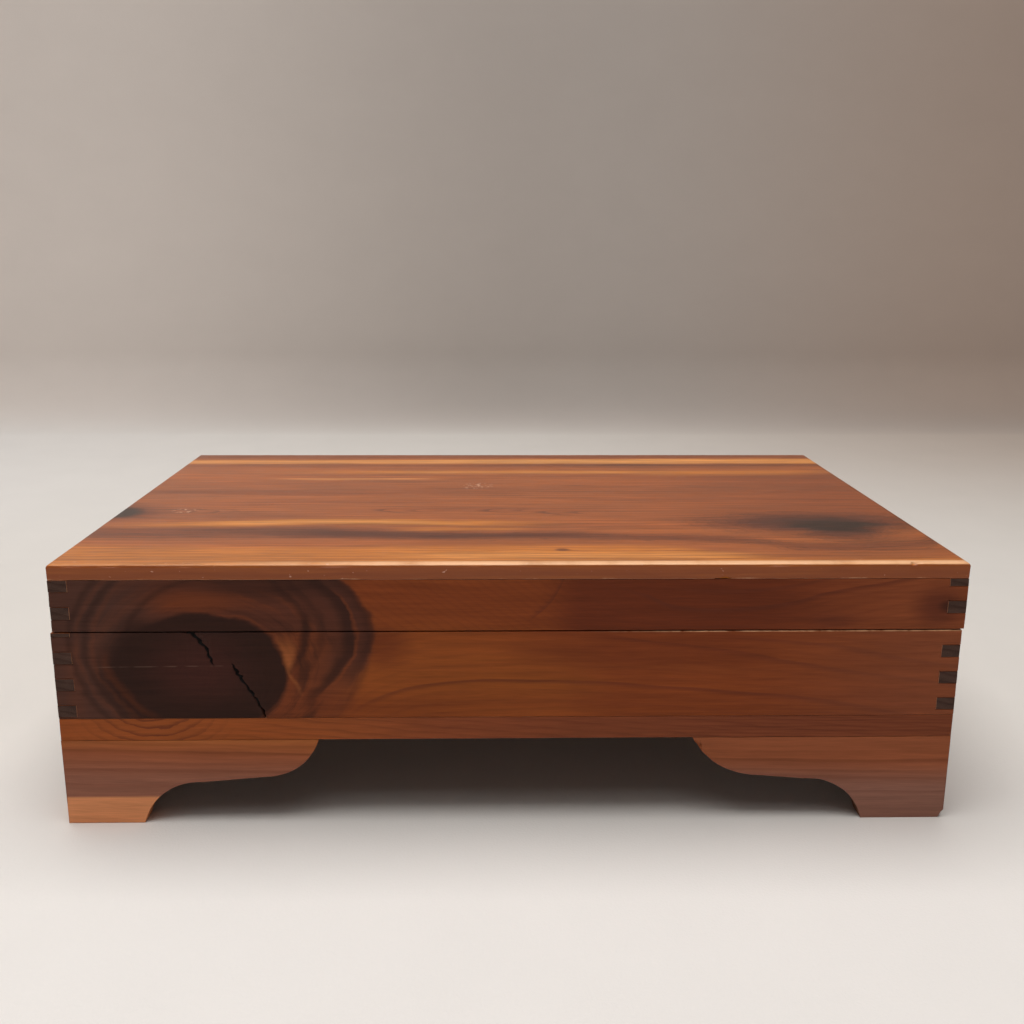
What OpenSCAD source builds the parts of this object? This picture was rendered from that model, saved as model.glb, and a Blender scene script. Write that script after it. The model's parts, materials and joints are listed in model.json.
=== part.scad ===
// Red cedar keepsake box: finger-jointed walls, a hinged lid sawn from the same carcass, and four
// scroll-cut bracket feet. Millimetres, +Z up. The origin is on the floor under the middle of the
// box, the front faces -Y, and the left of the box is -X.

/* [Box] */
// Width of the box across the front
box_w = 305; // [250:1:400]
// Depth of the box from front to back
box_d = 195; // [170:1:260]
// Height of the walls of the base, above its bottom board
base_wall_h = 30.7; // [20:0.1:60]
// Height of the walls of the lid, below its top panel
lid_wall_h = 17.8; // [14:0.1:40]
// Thickness of the walls
wall_t = 6.35; // [6:0.05:9]
// Thickness of the board under the base walls
bottom_t = 8; // [5:0.5:12]
// Thickness of the panel on top of the lid
panel_t = 5.4; // [4:0.1:10]
// Radius worn on the upper edges of the top panel
panel_edge_r = 1.2; // [0.4:0.1:2]
// Distance by which the lid sits to the right of the base
lid_shift = 0.6; // [0:0.1:1.5]
// Gap between the closed lid and the base
lid_gap = 0.4; // [0.3:0.05:0.6]

/* [Finger joints] */
// Distance from one finger to the next in the same board
finger_pitch = 9.525; // [8:0.025:14]
// Height of each finger on the side boards
finger_h = 4.5; // [3:0.1:6]
// Height of the lowest finger above the bottom board, at the left corners
left_finger_start = 0.5; // [0:0.1:4]
// Height of the lowest finger above the bottom board, at the right corners
right_finger_start = 1.9; // [0:0.1:4]
// Height of wood lost where the lid was sawn off the carcass
saw_kerf = 3.8; // [1.5:0.1:6]

/* [Feet] */
// Height of the feet
foot_h = 30.9; // [29:0.1:33]
// Thickness of the boards that the feet are sawn from
foot_t = 8; // [6:0.5:12]
// Length of the left feet along the front or back of the box
left_foot_l = 87.3; // [80:0.1:110]
// Length of the right feet along the front or back of the box
right_foot_l = 89.7; // [80:0.1:110]
// Length of a foot along the side of the box
side_foot_l = 72; // [72:1:80]
// Width of the toe that the left feet stand on
left_toe_w = 26.2; // [20:0.1:29.5]
// Width of the toe that the right feet stand on
right_toe_w = 29.2; // [20:0.1:29.5]
// Radius of the hollow beside the toe
cove_r = 20; // [16:0.5:20]
// Height of the shelf where it meets the hollow
shelf_h = 15.2; // [14:0.1:15.9]
// Radius of the nose at the thin end of the long boards of the left feet
left_nose_r = 19; // [17:0.1:26]
// Radius of the nose at the thin end of the long boards of the right feet
right_nose_r = 26.3; // [17:0.1:27]
// Radius of the nose at the thin end of the side boards of the feet
side_nose_r = 18; // [17:0.1:18]
// Side of the square glue block in the corner behind a foot
block_w = 16; // [10:1:20]

/* [Hinges] */
// Angle at which the lid stops, with its bevel on the bevel of the base
open_angle = 100; // [90:1:110]
// Length of a hinge
hinge_l = 25; // [20:1:40]
// Distance from the end of the box to the middle of a hinge
hinge_inset = 60; // [30:1:80]
// Outer radius of the hinge knuckles
knuckle_r = 1.6; // [1.4:0.05:1.8]
// Radius of the hinge pin
pin_r = 0.8; // [0.6:0.05:0.9]
// Thickness of the hinge leaves
leaf_t = 0.8; // [0.6:0.1:0.9]
// Width of a leaf, from the pin's axis
leaf_w = 4.5; // [4.2:0.1:4.6]

/* [Hidden] */
$fn = 64;
eps = 0.5; // how far a cutter runs past the face that it cuts

// Levels
bottom_top = foot_h + bottom_t;
base_top = bottom_top + base_wall_h;
hinge_z = base_top + lid_gap / 2;
lid_bottom = base_top + lid_gap;
panel_bottom = lid_bottom + lid_wall_h;

// The lid's walls start this high in the carcass, and came down by the kerf that was lost
lid_cut = base_wall_h + saw_kerf;
carcass_h = lid_cut + lid_wall_h;
least_finger = 0.6; // a thinner slice of finger broke away in the sawing

base_x = -lid_shift / 2;
lid_x = lid_shift / 2;

// The pin's axis lies one knuckle radius inside the back face
hinge_y = box_d / 2 - knuckle_r;
hinge_x = box_w / 2 - hinge_inset;
bevel_angle = open_angle / 2 + 0.75; // of each bevel from level, with a little slack at the stop
knuckle_gap = 0.15; // between one knuckle and the next
knuckle_clear = 0.3; // round the knuckles, in the wood and in the other leaf
running_clear = 0.05; // radial, between the pin and the lid's knuckle
knuckle_l = hinge_l / 3;

brad_r = 0.5;
brad_l = 8;
brad_head_r = 0.95;
brad_head_h = 0.45;
brad_x = 8; // from the middle of the hinge
brad_y = hinge_y - 3.1;

// Foot outline: x from the corner of the box, y up from the floor
cove_y = shelf_h - cove_r;
cove_half_w = sqrt(cove_r * cove_r - cove_y * cove_y); // of the hollow, at the floor
shelf_slope = atan(1.9 / 23); // the shelf rises a little towards the nose
shelf_drop = 0.1; // by which the line of the shelf starts below the top of the hollow
nose_dip = 3; // degrees by which the nose sets off below the line of the shelf

block_h = foot_h - 6;

colour_panel = [0.62, 0.27, 0.10];
colour_wall = [0.50, 0.19, 0.08];
colour_foot = [0.56, 0.23, 0.10];
colour_block = [0.72, 0.45, 0.25];
colour_brass = [0.72, 0.56, 0.28];

// ---------------------------------------------------------------- walls

// Spans of height, in the uncut carcass, that the side boards' fingers fill between lo and hi
function finger_spans(start, lo, hi) = [
    for (z = [start : finger_pitch : carcass_h])
        let (low = max(z, lo), high = min(z + finger_h, hi))
        if (high - low > least_finger) [low, high]
];

// A front or back board: the part of the carcass from lo to hi, with its outside face on y = 0,
// its thickness towards +y, and its ends notched for the side boards' fingers
module long_board(lo, hi) {
    difference() {
        translate([-box_w / 2, 0, lo]) cube([box_w, wall_t, hi - lo]);
        for (span = finger_spans(left_finger_start, lo, hi))
            translate([-box_w / 2 - eps, -eps, span[0]])
                cube([wall_t + eps, wall_t + 2 * eps, span[1] - span[0]]);
        for (span = finger_spans(right_finger_start, lo, hi))
            translate([box_w / 2 - wall_t, -eps, span[0]])
                cube([wall_t + eps, wall_t + 2 * eps, span[1] - span[0]]);
    }
}

// A side board from lo to hi, with its thickness from x = 0 towards +x, its middle on y = 0, and
// fingers that run through to the front and back of the box
module side_board(start, lo, hi) {
    translate([0, -box_d / 2 + wall_t, lo]) cube([wall_t, box_d - 2 * wall_t, hi - lo]);
    for (span = finger_spans(start, lo, hi))
        translate([0, -box_d / 2, span[0]]) cube([wall_t, box_d, span[1] - span[0]]);
}

// The V between the lid and the base along the back: each half is one bevel
module back_bevels() {
    reach = 2 * knuckle_r;
    rise = reach * tan(bevel_angle);
    translate([-box_w / 2 - 5, hinge_y, hinge_z]) rotate([90, 0, 90])
        linear_extrude(box_w + 10)
            polygon([[0, 0], [reach, -rise], [reach, rise]]);
}

// A shape drawn for the hinge at x = 0, at both hinges
module at_hinges() {
    for (side = [-1, 1]) translate([side * hinge_x, 0, 0]) children();
}

// Room in the wood for the hinge's knuckles and for one leaf, which lies on the side up (1, in the
// lid) or down (-1, in the base) of the parting
module hinge_mortise(side) {
    translate([0, hinge_y, hinge_z]) rotate([0, 90, 0])
        cylinder(h = hinge_l + 2 * knuckle_gap, r = knuckle_r + knuckle_clear, center = true);
    translate([-hinge_l / 2, hinge_y - leaf_w, hinge_z + (side > 0 ? 0 : -lid_gap / 2 - leaf_t)])
        cube([hinge_l, leaf_w, lid_gap / 2 + leaf_t]);
    both_brads(side);
}

module lid_front_board() {
    color(colour_wall)
        translate([lid_x, -box_d / 2, lid_bottom - lid_cut]) long_board(lid_cut, carcass_h);
}

module lid_back_board() {
    color(colour_wall) difference() {
        translate([lid_x, box_d / 2, lid_bottom - lid_cut]) mirror([0, 1, 0])
            long_board(lid_cut, carcass_h);
        back_bevels();
        at_hinges() hinge_mortise(1);
    }
}

module lid_left_board() {
    color(colour_wall) difference() {
        translate([lid_x - box_w / 2, 0, lid_bottom - lid_cut])
            side_board(left_finger_start, lid_cut, carcass_h);
        back_bevels();
    }
}

module lid_right_board() {
    color(colour_wall) difference() {
        translate([lid_x + box_w / 2 - wall_t, 0, lid_bottom - lid_cut])
            side_board(right_finger_start, lid_cut, carcass_h);
        back_bevels();
    }
}

module base_front_board() {
    color(colour_wall) translate([base_x, -box_d / 2, bottom_top]) long_board(0, base_wall_h);
}

module base_back_board() {
    color(colour_wall) difference() {
        translate([base_x, box_d / 2, bottom_top]) mirror([0, 1, 0]) long_board(0, base_wall_h);
        back_bevels();
        at_hinges() hinge_mortise(-1);
    }
}

module base_left_board() {
    color(colour_wall) difference() {
        translate([base_x - box_w / 2, 0, bottom_top])
            side_board(left_finger_start, 0, base_wall_h);
        back_bevels();
    }
}

module base_right_board() {
    color(colour_wall) difference() {
        translate([base_x + box_w / 2 - wall_t, 0, bottom_top])
            side_board(right_finger_start, 0, base_wall_h);
        back_bevels();
    }
}

// ---------------------------------------------------------------- panels

// Takes the arris off one upper edge: a bar with its corner on the X axis, less a round
module edge_cut(length) {
    rotate([0, 90, 0]) difference() {
        translate([-eps, -eps, -length / 2 - eps])
            cube([panel_edge_r + eps, panel_edge_r + eps, length + 2 * eps]);
        translate([panel_edge_r, panel_edge_r, 0])
            cylinder(h = length + 4 * eps, r = panel_edge_r, center = true);
    }
}

module lid_top_panel() {
    panel_top = panel_bottom + panel_t;
    color(colour_panel) difference() {
        translate([lid_x - box_w / 2, -box_d / 2, panel_bottom]) cube([box_w, box_d, panel_t]);
        for (turn = [0, 180])
            translate([lid_x, 0, panel_top]) rotate([0, 0, turn])
                translate([0, -box_d / 2, 0]) edge_cut(box_w);
        for (turn = [90, 270])
            translate([lid_x, 0, panel_top]) rotate([0, 0, turn])
                translate([0, -box_w / 2, 0]) edge_cut(box_d);
    }
}

module bottom_board() {
    color(colour_foot)
        translate([base_x - box_w / 2, -box_d / 2, foot_h]) cube([box_w, box_d, bottom_t]);
}

// ---------------------------------------------------------------- feet

// Outline of a foot of this length, from the corner of the box along +x, with the floor at y = 0:
// a toe of this width, a hollow, a shelf that rises a little, and a nose of this radius that ends
// under the bottom board
module foot_outline(length, toe_w, nose_r) {
    cove_x = toe_w + cove_half_w;
    shelf_start = [cove_x, shelf_h - shelf_drop];
    along_shelf = [cos(shelf_slope), sin(shelf_slope)];
    to_centre = nose_r * [-sin(shelf_slope - nose_dip), cos(shelf_slope - nose_dip)];
    // The nose leaves the shelf where its circle also passes through the thin end's upper corner
    offset_centre = [length, foot_h] - shelf_start - to_centre;
    middle = offset_centre * along_shelf;
    shelf_l = middle - sqrt(middle * middle - offset_centre * offset_centre + nose_r * nose_r);
    nose_start = shelf_start + shelf_l * along_shelf;
    inside_nose = nose_start + along_shelf;
    difference() {
        polygon([
            [0, 0], [cove_x, 0], shelf_start, inside_nose, [inside_nose[0], foot_h], [0, foot_h]
        ]);
        translate([cove_x, cove_y]) circle(r = cove_r);
    }
    intersection() {
        translate(nose_start + to_centre) circle(r = nose_r);
        translate([nose_start[0] - 1, 0]) square([length - nose_start[0] + 1, foot_h]);
    }
}

// One board of a foot, standing on y = 0 with its outside face towards -y, and mitred at x = 0
module foot_board(length, toe_w, nose_r) {
    difference() {
        rotate([90, 0, 0]) translate([0, 0, -foot_t]) linear_extrude(foot_t)
            foot_outline(length, toe_w, nose_r);
        linear_extrude(3 * foot_h, center = true)
            polygon([[-eps, -eps], [-eps, foot_t + eps], [foot_t + eps, foot_t + eps]]);
    }
}

// A piece drawn for the front left corner of the base, with that corner at x = 0 and y = 0, put at
// the corner on this side: x_side is -1 for left or 1 for right, y_side is -1 for front or 1 for
// back
module at_corner(x_side, y_side) {
    translate([base_x + x_side * box_w / 2, y_side * box_d / 2, 0])
        mirror([x_side > 0 ? 1 : 0, 0, 0]) mirror([0, y_side > 0 ? 1 : 0, 0]) children();
}

// Width of the toe of the feet on this side
function toe_of(x_side) = x_side < 0 ? left_toe_w : right_toe_w;

// The board along the front or back of the box
module foot_face(x_side, y_side) {
    length = x_side < 0 ? left_foot_l : right_foot_l;
    nose_r = x_side < 0 ? left_nose_r : right_nose_r;
    color(colour_foot) at_corner(x_side, y_side) foot_board(length, toe_of(x_side), nose_r);
}

// The board along the side of the box
module foot_return(x_side, y_side) {
    color(colour_foot) at_corner(x_side, y_side) mirror([1, -1, 0])
        foot_board(side_foot_l, toe_of(x_side), side_nose_r);
}

module foot_block(x_side, y_side) {
    color(colour_block) at_corner(x_side, y_side)
        translate([foot_t, foot_t, foot_h - block_h]) cube([block_w, block_w, block_h]);
}

// ---------------------------------------------------------------- hinges

// A brad with its head at z = 0 and its shank upwards
module brad() {
    cylinder(h = brad_head_h, r1 = brad_head_r, r2 = brad_r);
    cylinder(h = brad_l, r = brad_r);
}

// The two brads of one leaf, driven up into the lid (1) or down into the base (-1)
module both_brads(side) {
    for (x = [-brad_x, brad_x])
        translate([x, brad_y, hinge_z + side * lid_gap / 2])
            mirror([0, 0, side > 0 ? 0 : 1]) brad();
}

// A stretch of leaf from x = start to x = end, on the side up (1) or down (-1) of the parting. It
// reaches back to the given distance from the pin's axis.
module leaf_flat(side, start, end, back) {
    translate([start, hinge_y - leaf_w, hinge_z + side * lid_gap / 2])
        mirror([0, 0, side > 0 ? 0 : 1]) cube([end - start, leaf_w - back, leaf_t]);
}

// A hinge knuckle from x = start to x = end, with the stretch of leaf that is rolled round into it
module knuckle(side, start, end) {
    leaf_flat(side, start, end, 0);
    translate([start, hinge_y, hinge_z]) rotate([0, 90, 0])
        cylinder(h = end - start, r = knuckle_r);
}

// Bores the knuckles and the two brad holes of a leaf
module bored(side, radius) {
    difference() {
        children();
        translate([0, hinge_y, hinge_z]) rotate([0, 90, 0])
            cylinder(h = hinge_l + 2 * eps, r = radius, center = true);
        both_brads(side);
    }
}

// The leaf in the base holds the pin tightly in the two outer knuckles
module base_leaf() {
    inner = knuckle_l / 2 + knuckle_gap;
    bored(-1, pin_r) {
        leaf_flat(-1, -hinge_l / 2, hinge_l / 2, knuckle_r + knuckle_clear);
        knuckle(-1, -hinge_l / 2, -inner);
        knuckle(-1, inner, hinge_l / 2);
    }
}

// The leaf in the lid turns on the pin with its middle knuckle
module lid_leaf() {
    bored(1, pin_r + running_clear) {
        leaf_flat(1, -hinge_l / 2, hinge_l / 2, knuckle_r + knuckle_clear);
        knuckle(1, -knuckle_l / 2, knuckle_l / 2);
    }
}

module hinge_base_leaf(x_side) {
    color(colour_brass) translate([x_side * hinge_x, 0, 0]) base_leaf();
}

module hinge_lid_leaf(x_side) {
    color(colour_brass) translate([x_side * hinge_x, 0, 0]) lid_leaf();
}

module hinge_pin(x_side) {
    color(colour_brass) translate([x_side * hinge_x, hinge_y, hinge_z]) rotate([0, 90, 0])
        cylinder(h = hinge_l, r = pin_r, center = true);
}

module hinge_base_brads() {
    color(colour_brass) at_hinges() both_brads(-1);
}

module hinge_lid_brads() {
    color(colour_brass) at_hinges() both_brads(1);
}

lid_top_panel();
lid_front_board();
lid_back_board();
lid_left_board();
lid_right_board();
base_front_board();
base_back_board();
base_left_board();
base_right_board();
bottom_board();
foot_face(-1, -1);  // foot_front_left_face
foot_return(-1, -1);  // foot_front_left_return
foot_block(-1, -1);  // foot_front_left_block
foot_face(1, -1);  // foot_front_right_face
foot_return(1, -1);  // foot_front_right_return
foot_block(1, -1);  // foot_front_right_block
foot_face(-1, 1);  // foot_back_left_face
foot_return(-1, 1);  // foot_back_left_return
foot_block(-1, 1);  // foot_back_left_block
foot_face(1, 1);  // foot_back_right_face
foot_return(1, 1);  // foot_back_right_return
foot_block(1, 1);  // foot_back_right_block
hinge_base_leaf(-1);  // hinge_left_base_leaf
hinge_lid_leaf(-1);  // hinge_left_lid_leaf
hinge_pin(-1);  // hinge_left_pin
hinge_base_leaf(1);  // hinge_right_base_leaf
hinge_lid_leaf(1);  // hinge_right_lid_leaf
hinge_pin(1);  // hinge_right_pin
hinge_base_brads();
hinge_lid_brads();
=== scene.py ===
"""Looks for a red cedar keepsake box: worn boards, a cracked knot, grown cedar figure, hinge brass.

Places inside materials are in millimetres of the box's own frame: x to the right from the middle,
y back from the front face, z up from the floor.
"""
import json
import math

import bmesh
import bpy
from mathutils import Euler, Matrix, Vector, noise


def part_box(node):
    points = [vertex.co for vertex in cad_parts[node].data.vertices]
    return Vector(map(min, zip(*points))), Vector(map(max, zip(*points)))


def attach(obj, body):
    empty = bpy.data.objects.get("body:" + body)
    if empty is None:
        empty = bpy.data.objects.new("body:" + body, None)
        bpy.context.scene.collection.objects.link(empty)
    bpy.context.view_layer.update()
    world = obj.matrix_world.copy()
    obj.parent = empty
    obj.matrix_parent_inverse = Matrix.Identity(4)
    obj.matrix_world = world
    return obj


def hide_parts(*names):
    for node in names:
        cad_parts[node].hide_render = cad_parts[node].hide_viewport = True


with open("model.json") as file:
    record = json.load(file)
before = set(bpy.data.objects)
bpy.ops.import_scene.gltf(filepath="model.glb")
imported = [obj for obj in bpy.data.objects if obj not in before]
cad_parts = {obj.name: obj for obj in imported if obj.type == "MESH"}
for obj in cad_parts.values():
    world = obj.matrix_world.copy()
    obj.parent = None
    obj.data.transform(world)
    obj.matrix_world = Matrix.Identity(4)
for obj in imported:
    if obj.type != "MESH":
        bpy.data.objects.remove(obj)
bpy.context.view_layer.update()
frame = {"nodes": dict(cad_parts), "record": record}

MM = 0.001
BODY_OF = {
    node: body
    for body, nodes in frame["record"]["behaviour"]["bodies"].items()
    for node in nodes
}
SLOT_OF = {part["node"]: part["material_slot"] for part in frame["record"]["subparts"]}
WALL_LOW, WALL_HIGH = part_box("base_front_board")
FRONT_Y = WALL_LOW[1]
BASE_TOP = WALL_HIGH[2]
BOTTOM_TOP = WALL_LOW[2]
WALL_T = WALL_HIGH[1] - WALL_LOW[1]
PANEL_LOW, PANEL_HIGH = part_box("lid_top_panel")
FOOT_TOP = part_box("bottom_board")[0][2]
INNER_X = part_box("base_right_board")[0][0]
INNER_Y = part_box("base_back_board")[0][1]

# Linear colours of the varnished and bare cedar, and of the shade, sheen and highlights painted on it
HEART = (0.335, 0.090, 0.021)
HEART_DEEP = (0.20, 0.046, 0.013)
FRONT_HEART = (0.215, 0.047, 0.0100)
PLAIN_HEART = (0.265, 0.064, 0.0150)
FRONT_DEEP = (0.122, 0.0235, 0.0068)
# A greyer tone that also stands in for a painted sheen on the right of the front
GREY_AND_SHEEN = (0.215, 0.066, 0.0310)
PURPLE = (0.105, 0.024, 0.010)
ORANGE = (0.55, 0.180, 0.022)
SAPWOOD = (0.68, 0.29, 0.080)
KNOT = (0.026, 0.0085, 0.0050)
KNOT_RED = (0.050, 0.0135, 0.0090)
KNOT_GREY = (0.066, 0.0320, 0.0235)
# Painted shade laid deep inside the knot's cracks
CRACK_SHADE = (0.006, 0.003, 0.002)
FLAME = (0.46, 0.145, 0.040)
GREEN_KNOT = (0.017, 0.0085, 0.0050)
KNOT_HALO = (0.074, 0.0225, 0.0130)
FOOT = (0.27, 0.078, 0.030)
FOOT_GREY = (0.250, 0.118, 0.085)
FOOT_SAPWOOD = (0.76, 0.30, 0.125)
FINGER_END = (0.060, 0.031, 0.0225)
PANEL_END = (0.105, 0.030, 0.0125)
BARE = (0.50, 0.235, 0.125)
BARE_DEEP = (0.34, 0.12, 0.065)
# Painted shade for the bare wood under the box
UNDER_BOX_SHADE = (0.10, 0.045, 0.026)
PALE_WEAR = (0.75, 0.48, 0.34)
# Pale bare wood where the varnish has gone, bright enough to serve also as a painted highlight on arrises
RUBBED_AND_GLINT = (0.92, 0.53, 0.29)


# ---------------------------------------------------------------- camera, light and stage

def make_camera():
    data = bpy.data.cameras.new("camera")
    data.lens = 38.12
    data.sensor_width = 36
    camera = bpy.data.objects.new("camera", data)
    bpy.context.scene.collection.objects.link(camera)
    pitch, yaw, roll = math.radians(13.62), math.radians(1.23), math.radians(0.22)
    turn = Euler((math.pi / 2 - pitch, 0, -yaw)).to_matrix() @ Matrix.Rotation(roll, 3, "Z")
    camera.matrix_world = Matrix.Translation((-0.0072, -0.4402, 0.1938)) @ turn.to_4x4()
    bpy.context.scene.camera = camera


def area_light(name, place, aim, size, power, colour):
    data = bpy.data.lights.new(name, "AREA")
    data.shape = "RECTANGLE"
    data.size, data.size_y = size
    data.energy = power
    data.color = colour
    light = bpy.data.objects.new(name, data)
    bpy.context.scene.collection.objects.link(light)
    light.location = place
    light.rotation_euler = (Vector(aim) - Vector(place)).to_track_quat("-Z", "Y").to_euler()
    light.visible_camera = False


def make_lights():
    """A soft box overhead, with a weak front edge, and a long low panel in front: the shadow stays deep."""
    area_light("softbox", (-0.12, -0.05, 1.25), (-0.04, -0.05, 0), (1.1, 1.2), 18, (1.0, 0.99, 0.975))
    area_light("front_edge", (-0.12, -0.83, 1.25), (-0.04, -0.3, 0), (1.1, 0.36), 1.4, (1.0, 0.98, 0.96))
    area_light("low_front", (-0.3, -4.2, 0.22), (0, 0, 0.06), (4.2, 0.34), 18.5, (1.0, 0.98, 0.96))
    world = bpy.data.worlds.new("studio")
    world.use_nodes = True
    tree = world.node_tree
    direction = tree.nodes.new("ShaderNodeTexCoord").outputs["Generated"]
    split = tree.nodes.new("ShaderNodeSeparateXYZ")
    horizon = tree.nodes.new("ShaderNodeMapRange")
    horizon.interpolation_type = "SMOOTHSTEP"
    for socket, number in zip(horizon.inputs[1:], (0.0, 0.20, 0.55, 0.10)):
        socket.default_value = number
    background = tree.nodes["Background"]
    background.inputs["Color"].default_value = (0.84, 0.81, 0.78, 1)
    tree.links.new(direction, split.inputs[0])
    tree.links.new(split.outputs["Z"], horizon.inputs[0])
    tree.links.new(horizon.outputs[0], background.inputs["Strength"])
    bpy.context.scene.world = world
    bpy.context.scene.view_settings.view_transform = "Standard"


def make_stage():
    """A paper sweep: a floor that curves up into a wall behind the box."""
    wall_y, bend, half_width, top = 0.80, 0.08, 3.0, 2.4
    profile = [(-3.0, 0.0)]
    for step in range(17):
        angle = math.pi / 2 * step / 16
        profile.append((wall_y - bend + bend * math.sin(angle), bend - bend * math.cos(angle)))
    profile.append((wall_y, top))
    mesh = bpy.data.meshes.new("sweep")
    corners = [(x, y, z) for y, z in profile for x in (-half_width, half_width)]
    quads = [(2 * i, 2 * i + 1, 2 * i + 3, 2 * i + 2) for i in range(len(profile) - 1)]
    mesh.from_pydata(corners, [], quads)
    mesh.shade_smooth()
    sweep = bpy.data.objects.new("sweep", mesh)
    bpy.context.scene.collection.objects.link(sweep)
    sweep.data.materials.append(paper())


# ---------------------------------------------------------------- a small language for materials

class Value:
    """A shader socket that adds, multiplies and compares like a number."""

    def __init__(self, paint, socket):
        self.paint = paint
        self.socket = socket

    def calc(self, operation, *others):
        return self.paint.math(operation, self, *others)

    def __add__(self, other):
        return self.calc("ADD", other)

    def __sub__(self, other):
        return self.calc("SUBTRACT", other)

    def __mul__(self, other):
        return self.calc("MULTIPLY", other)

    def __truediv__(self, other):
        return self.calc("DIVIDE", other)

    def __pow__(self, other):
        return self.calc("POWER", other)

    def __neg__(self):
        return self * -1

    def __rsub__(self, other):
        return -self + other

    __radd__ = __add__
    __rmul__ = __mul__

    def size(self):
        return self.calc("ABSOLUTE")

    def least(self, other):
        return self.calc("MINIMUM", other)

    def most(self, other):
        return self.calc("MAXIMUM", other)

    def rise(self, low, high):
        """0 up to low, 1 from high on, smooth between."""
        node = self.paint.node("ShaderNodeMapRange", interpolation_type="SMOOTHSTEP")
        self.paint.feed(node.inputs[0], self)
        node.inputs[1].default_value = low
        node.inputs[2].default_value = high
        return Value(self.paint, node.outputs[0])

    def fall(self, low, high):
        """1 up to low, 0 from high on, smooth between."""
        return 1 - self.rise(low, high)

    def between(self, low, high, soft):
        """1 from low to high, fading to 0 over soft on either side."""
        return self.rise(low - soft, low) * self.fall(high, high + soft)

    def near(self, centre, reach):
        """1 at centre, fading to 0 at reach on either side."""
        return (self - centre).size().fall(0, reach)

    def ring_line(self):
        """A thin dark line once every whole number: a slow start and a sharp end."""
        part = self.calc("FRACT")
        return part.rise(0.45, 0.92) * part.fall(0.93, 1.0)

    def curve(self, points):
        """A smooth line through points (in, out)."""
        lows = [min(axis) for axis in zip(*points)]
        spans = [max(axis) - min(axis) for axis in zip(*points)]
        node = self.paint.node("ShaderNodeFloatCurve")
        line = node.mapping.curves[0]
        scaled = [((a - lows[0]) / spans[0], (b - lows[1]) / spans[1]) for a, b in points]
        for index, (across, up) in enumerate(scaled):
            if index < 2:
                line.points[index].location = (across, up)
            else:
                line.points.new(across, up)
        node.mapping.update()
        self.paint.feed(node.inputs["Value"], (self - lows[0]) / spans[0])
        return Value(self.paint, node.outputs[0]) * spans[1] + lows[1]


class Paint:
    """One material: a stack of colours and a relief, laid on in millimetres of the box's frame."""

    def __init__(self, name, colour):
        self.material = bpy.data.materials.new(name)
        self.material.use_nodes = True
        self.tree = self.material.node_tree
        self.shader = self.tree.nodes["Principled BSDF"]
        self.colour = colour
        self.relief = 0.0
        self.dull = 0.0
        place = self.node("ShaderNodeTexCoord").outputs["Object"]
        split = self.node("ShaderNodeSeparateXYZ")
        self.tree.links.new(place, split.inputs[0])
        x, y, z = [Value(self, socket) for socket in split.outputs]
        self.x = x / MM
        self.y = (y - FRONT_Y) / MM
        self.z = z / MM

    def node(self, kind, **settings):
        made = self.tree.nodes.new(kind)
        for name, value in settings.items():
            setattr(made, name, value)
        return made

    def feed(self, socket, item):
        if isinstance(item, Value):
            self.tree.links.new(item.socket, socket)
        elif isinstance(item, tuple):
            socket.default_value = (*item, 1)
        else:
            socket.default_value = item

    def math(self, operation, *items):
        node = self.node("ShaderNodeMath", operation=operation)
        for socket, item in zip(node.inputs, items):
            self.feed(socket, item)
        return Value(self, node.outputs[0])

    def noise(self, a, b, c, detail=3, rough=0.55):
        """Cloudy noise around 0 (about -0.5 to 0.5) at this point."""
        point = self.node("ShaderNodeCombineXYZ")
        for socket, item in zip(point.inputs, (a, b, c)):
            self.feed(socket, item)
        node = self.node("ShaderNodeTexNoise")
        node.inputs["Scale"].default_value = 1
        node.inputs["Detail"].default_value = detail
        node.inputs["Roughness"].default_value = rough
        self.tree.links.new(point.outputs[0], node.inputs["Vector"])
        return (Value(self, node.outputs["Fac"]) - 0.5) * 2

    def mix(self, amount, under, over):
        node = self.node("ShaderNodeMix", data_type="RGBA")
        self.feed(node.inputs["Factor"], amount)
        self.feed(node.inputs[6], under)
        self.feed(node.inputs[7], over)
        return Value(self, node.outputs[2])

    def cover(self, colour, amount):
        """Lays a colour over the wood where amount is 1."""
        self.colour = self.mix(amount, self.colour, colour)

    def shade(self, factor):
        """Multiplies the brightness of the wood by a factor near 1."""
        node = self.node("ShaderNodeVectorMath", operation="SCALE")
        self.feed(node.inputs[0], self.colour)
        self.feed(node.inputs["Scale"], factor)
        self.colour = Value(self, node.outputs[0])

    def distance(self, across, up, centre, radii):
        """Distance from an oval's centre, 1 on the oval."""
        a = (across - centre[0]) / radii[0]
        b = (up - centre[1]) / radii[1]
        return (a * a + b * b) ** 0.5

    def finish(self, roughness, coat, coat_roughness, specular):
        inputs = self.shader.inputs
        self.feed(inputs["Base Color"], self.colour)
        self.feed(inputs["Roughness"], self.dull + roughness)
        inputs["Coat Weight"].default_value = coat
        inputs["Coat Roughness"].default_value = coat_roughness
        inputs["Specular IOR Level"].default_value = specular
        if isinstance(self.relief, Value):
            bump = self.node("ShaderNodeBump")
            bump.inputs["Distance"].default_value = MM
            self.feed(bump.inputs["Height"], self.relief)
            self.tree.links.new(bump.outputs[0], inputs["Normal"])
        return self.material


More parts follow.
